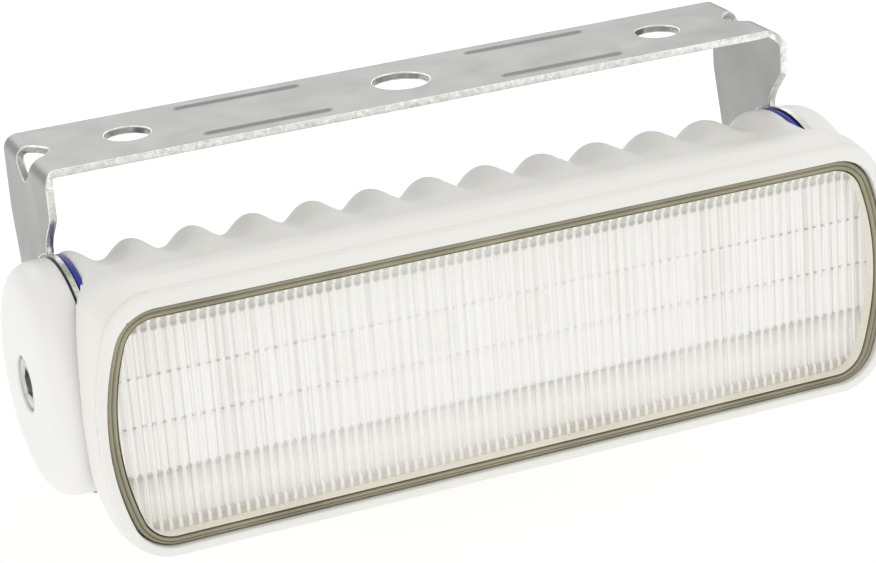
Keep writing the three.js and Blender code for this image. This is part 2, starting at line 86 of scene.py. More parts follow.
# depth, half length, half height, corner radius, bow of the ends
FLARE = np.array([
    (-33.5, 79.1, 24.6, 9.3, 5.3),
    (-32.2, 79.5, 25.1, 9.6, 5.3),
    (-29.3, 79.7, 25.5, 9.5, 5.2),
    (-26.3, 79.7, 25.7, 9.0, 5.0),
    (-22.3, 79.6, 25.2, 8.4, 4.9),
    (-19.3, 79.5, 24.4, 8.0, 4.8),
    (-16.3, 79.3, 23.5, 7.6, 4.7),
    (-12.3, 78.9, 22.4, 7.2, 4.6),
    (-9.3, 78.3, 21.8, 6.9, 4.5),
    (-6.3, 77.0, 21.1, 6.4, 4.4),
    (-3.0, 74.0, 19.6, 5.8, 4.2),
])
FLARE_BACK = -3.0
FOOT_BLEND = 4.0
POCKET = {"offset": 1.0, "floor": -27.3}
CAVITY = {"offset": -2.5, "floor": -16.3, "half_length": 68.0, "half_height": 15.0, "radius": 16.0}
PIVOT_BOSS = {"start": 58.0, "end": 72.0, "radius": 8.0, "hole": 4.8, "hole_start": 59.8}
POSTS = [(61.0, 10.5, -10.0, 13.5), (38.0, 0.0, -1.1, 17.0)]
POST_RADIUS = 3.5
POST_HOLE = 1.9
PARTING = {"y": -31.5, "radius": 0.22}

# ---- Pieces in the window
# (offset from the window's outline, depth) round the seal's section
GASKET_SECTION = [
    (0.7, -27.7), (0.7, -31.25), (0.66, -31.45), (0.55, -31.6), (0.35, -31.68), (0.1, -31.66),
    (-0.08, -31.5), (-0.15, -31.3), (-0.24, -31.5), (-0.42, -31.66), (-0.65, -31.68), (-0.88, -31.6),
    (-0.97, -31.45), (-1.0, -31.25), (-1.0, -27.7),
]
# The seal's bottom run is thinner by this much, and the lens reaches down into the room.
LENS_DROP = 0.8
LENS = {"offset": -1.3, "front": -31.2, "back": -28.6, "flutes": 18.8, "pitch": 1.82, "rise": 0.7}
LENS_LINES = (-10.2, -1.0, 8.2)
FLUTE_FADE = 0.8
LENS_REACH = 23.0
# (share of the way from -LENS_REACH to LENS_REACH, colour) from the bottom up; painted light and shade:
# bands that stand in for the lamp's lit and shaded inside seen through the clear lens
LENS_PAINTED_LIGHT_ROWS = [
    (0.040, (0.62, 0.57, 0.46)),
    (0.050, (0.46, 0.41, 0.32)),
    (0.068, (0.56, 0.51, 0.42)),
    (0.078, (0.86, 0.83, 0.76)),
    (0.170, (0.92, 0.91, 0.86)),
    (0.245, (0.68, 0.66, 0.61)),
    (0.268, (0.42, 0.40, 0.37)),
    (0.277, (0.97, 0.96, 0.94)),
    (0.440, (0.96, 0.95, 0.94)),
    (0.466, (0.88, 0.87, 0.85)),
    (0.475, (0.97, 0.96, 0.95)),
    (0.850, (0.95, 0.94, 0.92)),
    (0.862, (0.20, 0.19, 0.16)),
    (0.878, (0.48, 0.47, 0.41)),
    (0.925, (0.62, 0.60, 0.50)),
    (0.945, (0.50, 0.47, 0.36)),
]

# ---- Cable gland
GLAND = {"boss": 8.5, "boss_end": 24.2, "bore": 3.6, "clearance": 4.9, "thread_end": 29.3, "end": 33.2}
RIBS = {"count": 20, "depth": 0.018}

CAMERA = {
    "location": (-0.194351, -0.501670, 0.164976),
    "azimuth": -21.625,
    "elevation": 21.016,
    "roll": -4.282,
    "lens": 120.36,
}
# name, place and size in metres, watts
LIGHTS = [
    ("key", (0.6, -0.45, 0.65), (1.6, 1.3), 3.4),
    ("fill", (-0.9, -0.2, 0.2), (0.8, 0.8), 1.4),
    ("back", (0.1, 0.8, 0.45), (0.9, 0.5), 1.5),
]
SKY = {"Color": (1, 0.995, 0.985, 1), "Strength": 0.72}
FLOOR = {"reach": 4.0, "height": -0.083, "glow": 0.2}


# ------------------------------------------------------------------ camera, light and floor

def camera_axes():
    azimuth, elevation, roll = (math.radians(CAMERA[k]) for k in ("azimuth", "elevation", "roll"))
    back = Vector((
        math.sin(azimuth) * math.cos(elevation),
        -math.cos(azimuth) * math.cos(elevation),
        math.sin(elevation),
    ))
    level = Vector((math.cos(azimuth), math.sin(azimuth), 0))
    above = back.cross(level)
    right = level * math.cos(roll) + above * math.sin(roll)
    return right, back.cross(right), back


def add_camera():
    data = bpy.data.cameras.new("camera")
    data.lens = CAMERA["lens"]
    data.sensor_width = 36
    data.clip_start = 0.01
    camera = bpy.data.objects.new("camera", data)
    bpy.context.scene.collection.objects.link(camera)
    turned = Matrix(camera_axes()).transposed().to_4x4()
    camera.matrix_world = Matrix.Translation(CAMERA["location"]) @ turned
    bpy.context.scene.camera = camera


def area_light(name, place, size, power):
    data = bpy.data.lights.new(name, "AREA")
    data.shape = "RECTANGLE"
    data.size, data.size_y = size
    data.energy = power
    light = bpy.data.objects.new(name, data)
    bpy.context.scene.collection.objects.link(light)
    light.location = place
    middle = Vector((0, AXIS_Y * MM, AXIS_Z * MM))
    light.rotation_mode = "QUATERNION"
    light.rotation_quaternion = (middle - Vector(place)).to_track_quat("-Z", "Y")


def add_lights():
    world = bpy.data.worlds.new("studio")
    world.use_nodes = True
    for name, value in SKY.items():
        world.node_tree.nodes["Background"].inputs[name].default_value = value
    bpy.context.scene.world = world
    for light in LIGHTS:
        area_light(*light)
    bpy.context.scene.view_settings.view_transform = "Standard"
    bpy.context.scene.view_settings.look = "None"


def add_floor():
    reach, height = FLOOR["reach"], FLOOR["height"]
    mesh = bpy.data.meshes.new("floor")
    corners = [(-reach, -reach), (reach, -reach), (reach, reach), (-reach, reach)]
    mesh.from_pydata([(x, y, height) for x, y in corners], [], [(0, 1, 2, 3)])
    floor = bpy.data.objects.new("floor", mesh)
    bpy.context.scene.collection.objects.link(floor)
    material, tree, shader = new_material("pale_floor")
    shader.inputs["Base Color"].default_value = (0.95, 0.95, 0.945, 1)
    shader.inputs["Roughness"].default_value = 0.9
    shader.inputs["Emission Color"].default_value = (1, 1, 1, 1)
    shader.inputs["Emission Strength"].default_value = FLOOR["glow"]
    mesh.materials.append(material)


# ------------------------------------------------------------------ material building blocks

def new_material(name):
    material = bpy.data.materials.new(name)
    material.use_nodes = True
    tree = material.node_tree
    return material, tree, tree.nodes["Principled BSDF"]


def node(tree, kind, inputs=None, **settings):
    made = tree.nodes.new("ShaderNode" + kind)
    for key, value in settings.items():
        setattr(made, key, value)
    for key, value in (inputs or {}).items():
        if isinstance(value, bpy.types.NodeSocket):
            tree.links.new(value, made.inputs[key])
        else:
            made.inputs[key].default_value = value
    return made


def calc(tree, operation, *values):
    inputs = dict(enumerate(values))
    return node(tree, "Math", inputs, operation=operation).outputs[0]


def noise(tree, vector, scale, detail=2.0, distortion=0.0):
    inputs = {"Vector": vector, "Scale": scale, "Detail": detail, "Distortion": distortion}
    return node(tree, "TexNoise", inputs).outputs["Fac"]


def stretched(tree, vector, scale):
    return node(tree, "Mapping", {"Vector": vector, "Scale": scale}).outputs["Vector"]


def spread(tree, value, low, high, start=0.3, end=0.7):
    inputs = {"Value": value, "From Min": start, "From Max": end, "To Min": low, "To Max": high}
    return node(tree, "MapRange", inputs).outputs["Result"]


def mixed(tree, factor, first, second, blend="MIX"):
    made = node(tree, "Mix", data_type="RGBA", blend_type=blend)
    for socket, value in ((0, factor), (6, first), (7, second)):
        if isinstance(value, bpy.types.NodeSocket):
            tree.links.new(value, made.inputs[socket])
        else:
            made.inputs[socket].default_value = value
    return made.outputs[2]


def ramp(tree, factor, stops):
    made = node(tree, "ValToRGB", {"Fac": factor})
    band = made.color_ramp
    while len(band.elements) < len(stops):
        band.elements.new(0.5)
    for element, (place, tone) in zip(band.elements, stops):
        element.position = place
        element.color = tone if len(tone) == 4 else (*tone, 1)
    return made.outputs["Color"]


def shaded(colour, factor):
    return tuple(min(1.0, channel * factor) for channel in colour[:3]) + (1,)


def object_coords(tree):
    return node(tree, "TexCoord").outputs["Object"]


def bumped(tree, shader, height, strength, distance):
    inputs = {"Height": height, "Strength": strength, "Distance": distance}
    tree.links.new(node(tree, "Bump", inputs).outputs["Normal"], shader.inputs["Normal"])


# Moulded plastic, rubber, paint and cast parts: blotchy colour, worn edges, fine grain.
def moulded(name, colour, roughness, relief=0.00002, variation=0.03, wear=0.15, metallic=0.0):
    material, tree, shader = new_material(name)
    coords = object_coords(tree)
    cloud = noise(tree, coords, 60.0, 4.0)
    fine = noise(tree, coords, 2600.0, 3.0)
    dark, pale = shaded(colour, 1 - variation), shaded(colour, 1 + variation)
    tint = mixed(tree, spread(tree, cloud, 0, 1), dark, pale)
    worn = node(tree, "NewGeometry").outputs["Pointiness"]
    tint = mixed(tree, spread(tree, worn, 0, wear, 0.52, 0.62), tint, shaded(colour, 1.25))
    tree.links.new(tint, shader.inputs["Base Color"])
    cloudy = spread(tree, cloud, -0.05, 0.05)
    grainy = spread(tree, fine, roughness - 0.04, roughness + 0.04)
    tree.links.new(calc(tree, "ADD", cloudy, grainy), shader.inputs["Roughness"])
    shader.inputs["Metallic"].default_value = metallic
    bumped(tree, shader, fine, 0.35, relief)
    return material


# Rolled and brushed sheet: streaks along the strip, faint stains and small scratches.
def brushed(name, colour, roughness, vector_of, along, across):
    material, tree, shader = new_material(name)
    flat = vector_of(tree)
    streaks = noise(tree, stretched(tree, flat, (along, across, along)), 1.0, 4.0)
    fine = noise(tree, stretched(tree, flat, (along * 3, across * 3, along * 3)), 1.0, 2.0)
    stain = noise(tree, flat, across / 90, 5.0, 0.4)
    tint = mixed(tree, spread(tree, streaks, 0, 1), shaded(colour, 0.93), shaded(colour, 1.06))
    tint = mixed(tree, spread(tree, stain, 0, 0.5), tint, shaded(colour, 0.9))
    tree.links.new(tint, shader.inputs["Base Color"])
    streaky = spread(tree, streaks, roughness - 0.07, roughness + 0.07)
    stained = spread(tree, stain, -0.04, 0.05)
    tree.links.new(calc(tree, "ADD", streaky, stained), shader.inputs["Roughness"])
    shader.inputs["Metallic"].default_value = 1.0
    bumped(tree, shader, fine, 0.25, 0.00001)
    return material


def flat_coords(tree):
    return node(tree, "UVMap", uv_map="flat").outputs["UV"]


# Sheared and tumbled sheet edge: bright patches, with painted shade that darkens it inside the holes.
def burnished(name, unshaded_share):
    material, tree, shader = new_material(name)
    coords = object_coords(tree)
    patches = noise(tree, coords, 1100.0, 5.0, 0.6)
    bands = noise(tree, coords, 120.0, 3.0)
    tones = [(0.3, (0.6, 0.6, 0.57)), (0.48, (0.78, 0.78, 0.75)), (0.64, (0.92, 0.92, 0.89))]
    tint = ramp(tree, patches, tones)
    tint = mixed(tree, spread(tree, bands, 0, 0.5), tint, (0.84, 0.84, 0.82, 1))
    # Painted shade: the edge colour is mixed towards near-black by one minus the second argument, darkening
    # the hole walls.
    tint = mixed(tree, 1 - unshaded_share, tint, (0.05, 0.05, 0.045, 1))
    tree.links.new(tint, shader.inputs["Base Color"])
    tree.links.new(spread(tree, patches, 0.42, 0.22), shader.inputs["Roughness"])
    shader.inputs["Metallic"].default_value = 1.0
    bumped(tree, shader, patches, 0.35, 0.00003)
    return material


# Turned steel: fine rings round the X axis and a little wear.
def machined(name, colour, roughness):
    material, tree, shader = new_material(name)
    coords = object_coords(tree)
    rings = noise(tree, stretched(tree, coords, (9000, 300, 300)), 1.0, 3.0)
    spots = noise(tree, coords, 900.0, 4.0)
    tint = mixed(tree, spread(tree, spots, 0, 1), shaded(colour, 0.82), shaded(colour, 1.08))
    tree.links.new(tint, shader.inputs["Base Color"])
    tree.links.new(spread(tree, rings, roughness - 0.08, roughness + 0.08), shader.inputs["Roughness"])
    shader.inputs["Metallic"].default_value = 1.0
    bumped(tree, shader, rings, 0.3, 0.00001)
    return material


def clear_front(name):
    material, tree, shader = new_material(name)
    coords = object_coords(tree)
    smears = noise(tree, coords, 90.0, 3.0)
    shader.inputs["Base Color"].default_value = (0.97, 0.98, 0.97, 1)
    tree.links.new(spread(tree, smears, 0.04, 0.12), shader.inputs["Roughness"])
    tree.links.new(spread(tree, smears, 0.05, 0.09), shader.inputs["Alpha"])
    shader.inputs["Specular IOR Level"].default_value = 0.6
    bumped(tree, shader, smears, 0.1, 0.00004)
    return material


# The fluted back of the lens: upright ribs, and rows of cells painted from grey or beige to white as the
# light and shade of the lamp's inside seen through it, with painted streaks, painted highlights, dark dashes
# of painted shade and a painted glow.
def fluted_back(name):
    material, tree, shader = new_material(name)
    coords = object_coords(tree)
    split = node(tree, "SeparateXYZ", {"Vector": coords}).outputs
    height = calc(tree, "SUBTRACT", split["Z"], (AXIS_Z - LENS_REACH) * MM)
    height = calc(tree, "DIVIDE", height, 2 * LENS_REACH * MM)
    phase = calc(tree, "FRACT", calc(tree, "DIVIDE", split["X"], LENS["pitch"] * MM))
    cell = calc(tree, "MULTIPLY", calc(tree, "ABSOLUTE", calc(tree, "SUBTRACT", phase, 0.5)), 2.0)
    sagged = calc(tree, "SUBTRACT", height, calc(tree, "MULTIPLY", calc(tree, "POWER", cell, 2.0), 0.014))
    # Painted light and shade: the row colours stand in for the lit reflector and the shaded parts behind the
    # clear lens.
    rows = ramp(tree, sagged, LENS_PAINTED_LIGHT_ROWS)
    lines = noise(tree, stretched(tree, coords, (2600, 1, 18)), 1.0, 4.0)
    broad = noise(tree, stretched(tree, coords, (22, 1, 14)), 1.0, 2.0)
    outwards = calc(tree, "ABSOLUTE", split["X"])
    # Painted highlight: in broad patches the rows wash out to near-white, as glare on the lens.
    with_painted_glare = mixed(tree, spread(tree, broad, 0, 0.6), rows, (0.96, 0.955, 0.94, 1))
    # Painted shade: dark upright streaks, stronger towards the lens's ends, stand in for shaded parts seen
    # through the flutes.
    depth = spread(tree, outwards, 0.5, 1.0, 0.03, 0.07)
    streaks = calc(tree, "MULTIPLY", spread(tree, lines, 0.0, 0.75, 0.42, 0.72), depth)
    with_painted_dark_streaks = mixed(tree, streaks, with_painted_glare, (0.50, 0.44, 0.40, 1))
    # Painted highlight: colour mixed towards near-white along the edges of every flute.
    rib_painted_highlight = calc(tree, "MULTIPLY", spread(tree, cell, 0, 1, 0.5, 0.78), 0.85)
    tint = mixed(tree, rib_painted_highlight, with_painted_dark_streaks, (0.99, 0.985, 0.97, 1))
    # Painted shade: short dark dashes where the rows of prisms meet.
    tint = mixed(tree, painted_shade_dashes(tree, height, cell, outwards, lines), tint, (0.36, 0.35, 0.33, 1))
    tree.links.new(tint, shader.inputs["Base Color"])
    tree.links.new(spread(tree, lines, 0.16, 0.3), shader.inputs["Roughness"])
    shader.inputs["Alpha"].default_value = 0.86
    # Painted glow: the lens back gives off a little light in its own painted colours, though it is no lamp.
    tree.links.new(tint, shader.inputs["Emission Color"])
    shader.inputs["Emission Strength"].default_value = 0.09
    bumped(tree, shader, lines, 0.3, 0.00008)
    return material


def painted_shade_dashes(tree, height, cell, outwards, lines):
    """A short dark dash of painted shade in every cell where one row of prisms ends and the next begins."""
    dashes = 0.0
    for line in LENS_LINES:
        away = calc(tree, "ABSOLUTE", calc(tree, "SUBTRACT", height, (line + LENS_REACH) / (2 * LENS_REACH)))
        dashes = calc(tree, "MAXIMUM", dashes, spread(tree, away, 1, 0, 0.003, 0.008))
    middle = spread(tree, cell, 1, 0, 0.25, 0.6)
    broken = spread(tree, lines, 0.3, 1, 0.4, 0.6)
    fading = spread(tree, outwards, 0.3, 1, 0.02, 0.065)
    uneven = calc(tree, "MULTIPLY", broken, fading)
    return calc(tree, "MULTIPLY", calc(tree, "MULTIPLY", dashes, middle), uneven)


# ------------------------------------------------------------------ mesh building blocks

def in_row(points):
    """Lamp coordinates in millimetres to the row frame in metres."""
    return (np.asarray(points, float) + (0, AXIS_Y, AXIS_Z)) * MM


def add_piece(name, points, faces, looks, body, nodes, sharp, face_looks=None):
    mesh = bpy.data.meshes.new(name)
    mesh.from_pydata([tuple(p) for p in points], [], faces)
    mesh.validate()
    mesh.polygons.foreach_set("use_smooth", [True] * len(mesh.polygons))
    mesh.set_sharp_from_angle(angle=math.radians(sharp))
    for look in looks:
        mesh.materials.append(look)
    if face_looks is not None:
        mesh.polygons.foreach_set("material_index", face_looks)
    piece = bpy.data.objects.new(name, mesh)
    bpy.context.scene.collection.objects.link(piece)
    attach(piece, body)
    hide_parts(*nodes)
    return piece


def arc(centre, radius, start, end, steps):
    angles = np.radians(np.linspace(start, end, steps + 1))
    return [(centre[0] + radius * math.cos(a), centre[1] + radius * math.sin(a)) for a in angles]


def ring_radius(radius, angle, shape):
    if shape == "hex":
        turn = (angle % (math.pi / 3)) - math.pi / 6
        return radius * math.cos(math.pi / 6) / math.cos(turn)
    if shape == "ribbed":
        return radius * (1 + RIBS["depth"] * math.cos(RIBS["count"] * angle))
    return radius


# A turned piece from (along, radius, shape) rings that go round its section. A radius of 0 is a pole.
def turned(profile, steps, closed=True):
    points, rings = [], []
    for along, radius, *shape in profile:
        shape = shape[0] if shape else "round"
        if radius == 0:
            rings.append([len(points)] * steps)
            points.append((along, 0.0, 0.0))
            continue
        rings.append(list(range(len(points), len(points) + steps)))
        for i in range(steps):
            angle = 2 * math.pi * i / steps
            r = ring_radius(radius, angle, shape)
            points.append((along, r * math.cos(angle), r * math.sin(angle)))
    faces = []
    pairs = list(zip(rings, rings[1:] + rings[:1])) if closed else list(zip(rings, rings[1:]))
    for first, second in pairs:
        for i in range(steps):
            j = (i + 1) % steps
            corners = dict.fromkeys((first[i], first[j], second[j], second[i]))
            if len(corners) > 2:
                faces.append(tuple(corners))
    return np.array(points), faces


def along_y(points):
    return points[:, [1, 0, 2]] * (-1, 1, 1)


def mirrored_end(points):
    return points * (-1, -1, 1)


# ------------------------------------------------------------------ bracket, drawn flat and folded

def flat_place(z):
    """Where a height on a leg's outside lies along the flat strip."""
    return BEND_START + BEND_LENGTH - BEND_OUTER - z


def folded(flat, depth):
    """Flat points (along, y) at a depth below the outside face, folded into the bracket."""
    along, y = np.abs(flat[:, 0]), flat[:, 1]
    side = np.where(flat[:, 0] < 0, -1.0, 1.0)
    turn = np.clip((along - BEND_START) / BEND_OUTER, 0, math.pi / 2)
    radius = BEND_OUTER - depth
    past = np.maximum(along - BEND_START - BEND_LENGTH, 0)
    x = np.minimum(along, BEND_START) + radius * np.sin(turn)
    z = -BEND_OUTER + radius * np.cos(turn) - past
    return np.stack([x * side, y, z], 1)


def filleted(corners, steps=5):
    """A polyline whose inner corners (x, y, radius) are rounded."""
    points = [corners[0][:2]]
    for before, here, after in zip(corners, corners[1:], corners[2:]):
        corner, radius = Vector(here[:2]), here[2]
        if radius == 0:
            points.append(tuple(corner))
            continue
        first = (Vector(before[:2]) - corner).normalized()
        second = (Vector(after[:2]) - corner).normalized()
        half = first.angle(second) / 2
        start, end = corner + first * radius / math.tan(half), corner + second * radius / math.tan(half)
        centre = corner + (first + second).normalized() * radius / math.sin(half)
        for i in range(steps + 1):
            spoke = (start - centre).lerp(end - centre, i / steps).normalized()
            points.append(tuple(centre + spoke * radius))
    points.append(corners[-1][:2])
    return points


def half_blank():
    """The right half of the flat blank, from the front edge round the ear to the rear edge."""
    ear_y, ear_z = AXIS_Y, AXIS_Z
    neck = math.degrees(math.acos((NECK_Y - ear_y) / EAR_RADIUS))
    rear_y, rear_z = PLATE_HALF - ear_y, LEG_REAR_LOW - ear_z
    reach = math.hypot(rear_y, rear_z)
    tangent = math.degrees(math.atan2(rear_z, rear_y) - math.acos(EAR_RADIUS / reach))
    front = filleted([
        (0.0, -PLATE_HALF, 0),
        (BEND_START + SHOULDER["inset"], -PLATE_HALF, SHOULDER["fillet"]),
        (BEND_START + BEND_LENGTH - SHOULDER["inset"], LEG_FRONT, SHOULDER["fillet"]),
        *((flat_place(z), y, radius) for z, y, radius in LEG_CORNERS),
        (flat_place(ear_z + EAR_RADIUS * math.sin(math.radians(neck))), NECK_Y, 0),
    ])
    ear = [(flat_place(z), y) for y, z in arc((ear_y, ear_z), EAR_RADIUS, neck, tangent - 360, 72)]
    rear = [(flat_place(LEG_REAR_LOW), PLATE_HALF), (0.0, PLATE_HALF)]
    return front[:-1] + ear + rear


def blank_outline():
    right = half_blank()
    left = [(-x, y) for x, y in right[::-1]]
    return right + left[1:-1]


def relief_outline(side):
    """The pointed oval across a bend, as it lies on the flat strip."""
    middle = side * (BEND_START + BEND_LENGTH / 2)
    share = np.linspace(-1, 1, RELIEF["steps"])
    width = RELIEF["half_width"] * (1 - share**2) * (1 + RELIEF["bulge"] * share**2)
    upper = [(middle + u * RELIEF["half_length"], w) for u, w in zip(share, width)]
    return upper + [(u, -w) for u, w in upper[-2:0:-1]]


def offset_loop(loop, amount):
    """The loop moved sideways into the sheet by a small amount."""
    points = np.array(loop)
    before, after = np.roll(points, 1, 0), np.roll(points, -1, 0)
    normals = []
    for a, b in ((before, points), (points, after)):
        way = (b - a) / np.maximum(np.linalg.norm(b - a, axis=1, keepdims=True), 1e-9)
        normals.append(np.stack([-way[:, 1], way[:, 0]], 1))
    mean = normals[0] + normals[1]
    mean /= np.maximum(np.sum(mean * mean, 1, keepdims=True) / 2, 0.3)
    return points + mean * amount


def signed_area(loop):
    x, y = np.array(loop).T
    return 0.5 * np.sum(x * np.roll(y, -1) - y * np.roll(x, -1))


def contains(loop, points):
    """Which of the points lie inside a closed loop."""
    loop = np.asarray(loop)
    inside = np.zeros(len(points), bool)
    for (x0, y0), (x1, y1) in zip(loop, np.roll(loop, -1, 0)):
        if y0 == y1:
            continue
        crosses = (points[:, 1] < y0) != (points[:, 1] < y1)
        inside ^= crosses & (points[:, 0] < x0 + (points[:, 1] - y0) * (x1 - x0) / (y1 - y0))
    return inside


def loop_distance(loop, points):
    """Distance from each point to the nearest edge of a closed loop."""
    loop = np.asarray(loop)
    best = np.full(len(points), 1e9)
    for a, b in zip(loop, np.roll(loop, -1, 0)):
        way = b - a
        share = np.clip((points - a) @ way / max(way @ way, 1e-12), 0, 1)
        best = np.minimum(best, np.linalg.norm(points - a - share[:, None] * way, axis=1))
    return best


def bead_axes():
    return [(side, y) for side in (-1, 1) for y in (-BEAD["y"], BEAD["y"])]


def bead_distance(side, y, points):
    """Distance from each flat point to the middle line of one bead."""
    start, end = sorted((side * BEAD["start"], side * BEAD["end"]))
    past = points[:, 0] - np.clip(points[:, 0], start, end)
    return np.hypot(past, points[:, 1] - y)


def bead_depth(points):
    depth = np.zeros(len(points))
    for side, y in bead_axes():
        near = bead_distance(side, y, points)
        share = np.clip((BEAD["outer"] - near) / (BEAD["outer"] - BEAD["inner"]), 0, 1)
        depth += BEAD["depth"] * share * share * (3 - 2 * share)
    return depth


def bead_loop(side, y, radius):
    start, end = sorted((side * BEAD["start"], side * BEAD["end"]))
    return arc((start, y), radius, 90, 270, 10) + arc((end, y), radius, -90, 90, 10)


def blank_loops():
    """The outline and every cut-out, each turned so that the sheet lies on its left."""
    cuts = [arc((x, 0), radius, 0, 360, 48)[:-1] for x, radius in HOLES]
    for side in (-1, 1):
        cuts.append(relief_outline(side))
        cuts.append(arc((side * flat_place(AXIS_Z), AXIS_Y), EAR_BORE, 0, 360, 32)[:-1])
    loops = [blank_outline(), *cuts]
    turned_loops = []
    for i, loop in enumerate(loops):
        wanted = 1 if i == 0 else -1
        turned_loops.append(loop if signed_area(loop) * wanted > 0 else loop[::-1])
    return turned_loops


def blank_triangles(loops):
    points, edges = [], []

    def add(loop, closed=True):
        start = len(points)
        points.extend(Vector(p) for p in loop)
        edges.extend((start + i, start + i + 1) for i in range(len(loop) - 1))
        if closed:
            edges.append((start + len(loop) - 1, start))

    for loop in loops:
        add(loop)
        for share in (0.3, 1.0):
            add(offset_loop(loop, EDGE_ROUND * share))
    for side, y in bead_axes():
        for radius in np.linspace(BEAD["inner"], BEAD["outer"], 6):
            add(bead_loop(side, y, radius))
    for side in (-1, 1):
        for i in range(BEND_STEPS + 1):
            along = side * (BEND_START + BEND_LENGTH * i / BEND_STEPS)
            add([(along, LEG_FRONT - 1), (along, PLATE_HALF + 1)], closed=False)
    found = delaunay_2d_cdt(points, edges, [], 0, 1e-5)
    flat = np.array([tuple(p) for p in found[0]])
    triangles = np.array(found[2])
    middles = flat[triangles].mean(1)
    keep = contains(loops[0], middles)
    for hole in loops[1:]:
        keep &= ~contains(hole, middles)
    return flat, triangles[keep]


def compacted(flat, triangles):
    """The points that the triangles use, and the triangles by their new numbers."""
    used = np.unique(triangles)
    renumbered = np.zeros(len(flat), int)
    renumbered[used] = np.arange(len(used))
    return flat[used], renumbered[triangles]


def rim_edges(triangles):
    """The edges that only one triangle has, in its direction."""
    corners = np.concatenate([triangles[:, [0, 1]], triangles[:, [1, 2]], triangles[:, [2, 0]]])
    edges = {tuple(pair) for pair in corners.tolist()}
    return sorted((a, b) for a, b in edges if (b, a) not in edges)


def loop_distances(loops, points):
    return np.array([loop_distance(loop, points) for loop in loops])


def bracket_mesh():
    """Points, faces, the look of each face, and each point's place on the flat strip."""
    loops = blank_loops()
    flat, triangles = compacted(*blank_triangles(loops))
    near = loop_distances(loops, flat).min(0)
    inside = np.clip(EDGE_ROUND - near, 0, EDGE_ROUND)
    edge = EDGE_ROUND - np.sqrt(np.maximum(EDGE_ROUND**2 - inside**2, 0))
    bead = bead_depth(flat)
    top, under = folded(flat, edge + bead), folded(flat, SHEET - edge + bead)
    count = len(flat)
    rim = rim_edges(triangles)
    walls = [(b, a, a + count, b + count) for a, b in rim]
    faces = triangles.tolist() + (triangles[:, ::-1] + count).tolist() + walls
    in_edge = loop_distances(loops, flat[triangles].mean(1)).min(0) < EDGE_ROUND
    cut = (in_edge & (near[triangles].max(1) < EDGE_ROUND * 1.01)).astype(int).tolist()
    owner = loop_distances(loops, flat[np.array(rim)].mean(1)).argmin(0)
    looks = cut + cut + np.where(owner == 0, 1, 2).tolist()
    return np.concatenate([top, under]) * MM, faces, looks, np.concatenate([flat, flat])


def add_bracket(looks):
    points, faces, face_looks, flat = bracket_mesh()
    piece = add_piece(
        "folded_bracket", points, faces, [looks["steel"], looks["cut_edge"], looks["hole_edge_painted_shade"]],
        "mount", ["bracket"], 28, face_looks,
    )
    normals = piece.modifiers.new("normals", "WEIGHTED_NORMAL")
    normals.keep_sharp = True
    normals.weight = 50
    layer = piece.data.uv_layers.new(name="flat")
    corners = np.zeros(len(piece.data.loops), int)
    piece.data.loops.foreach_get("vertex_index", corners)
    layer.data.foreach_set("uv", (flat[corners] / 100).ravel())


# ------------------------------------------------------------------ end clamps

def cap_profile():
    inner, outer, radius, hole = (CAP[k] for k in ("inner", "outer", "radius", "hole"))
    rise = outer - inner - DOME["edge"]
    shoulder = hole + DOME["flat"]
    dome = []
    for share in np.linspace(0, 1, 25):
        angle = share * math.pi / 2
        r = shoulder + (radius - shoulder) * math.cos(angle) ** DOME["roundness"]
        dome.append((outer - rise + rise * math.sin(angle) ** DOME["rise"], r))
    lip = [(outer - 0.05, hole + 0.5), (outer - 0.15, hole + 0.15), (outer - 0.4, hole)]
    rim = [(inner, radius - 0.3), (inner + 0.1, radius - 0.08), (inner + 0.3, radius)]
    return [(inner, CAP["bore"]), *rim, *dome, *lip, (CAP["floor"], hole), (CAP["floor"], CAP["bore"])]


def bolt_profile():
    start, end, radius, hexagon = (HEAD[k] for k in ("start", "end", "radius", "hex"))
    floor = end - HEAD["socket"]
    return [
        (SHANK["start"], 0), (SHANK["start"], SHANK["radius"] - 0.6),
        (SHANK["start"] + 0.6, SHANK["radius"]), (start, SHANK["radius"]),
        (start, radius - 0.2), (start + 0.2, radius), (end - 0.7, radius),
        (end - 0.3, radius - 0.12), (end - 0.08, radius - 0.45), (end, radius - 0.8),
        (end, hexagon + 0.35), (end - 0.3, hexagon, "hex"), (floor, hexagon, "hex"),
        (floor - 0.5, 1.6), (floor - 1.0, 0),
    ]


def ring_profile():
    inner, outer, radius, bore = (RING[k] for k in ("inner", "outer", "radius", "bore"))
    return [
        (inner, bore), (inner, radius - 0.25), (inner + 0.08, radius - 0.08), (inner + 0.25, radius),
        (outer - 0.25, radius), (outer - 0.08, radius - 0.08), (outer, radius - 0.25), (outer, bore),
    ]


def add_clamps(looks):
    parts = [
        ("end_cap", cap_profile(), True, "mount", "cap_white", "white_shell", 96, 30),
        ("clamp_bolt", bolt_profile(), False, None, "bolt_steel", "steel_fastener", 48, 30),
        ("friction_ring", ring_profile(), True, "lamp", "blue", "blue_ring", 96, 40),
    ]
    for side in ("left", "right"):
        for part, profile, closed, body, look, slot, steps, sharp in parts:
            points, faces = turned(profile, steps, closed)
            points = mirrored_end(points) if side == "left" else points
            add_piece(
                f"{side}_{part}_detailed", in_row(points), faces, [looks[look]],
                body or f"{side}_bolt", [f"{side}_{part}"], sharp,
            )


# ------------------------------------------------------------------ housing, as one blended surface

def rounded_max(a, b, radius):
    corner = np.hypot(np.maximum(a + radius, 0), np.maximum(b + radius, 0))
    return np.minimum(np.maximum(a, b), -radius) + corner


def smooth_min(a, b, blend):
    near = np.maximum(blend - np.abs(a - b), 0) / blend
    return np.minimum(a, b) - near * near * blend / 4


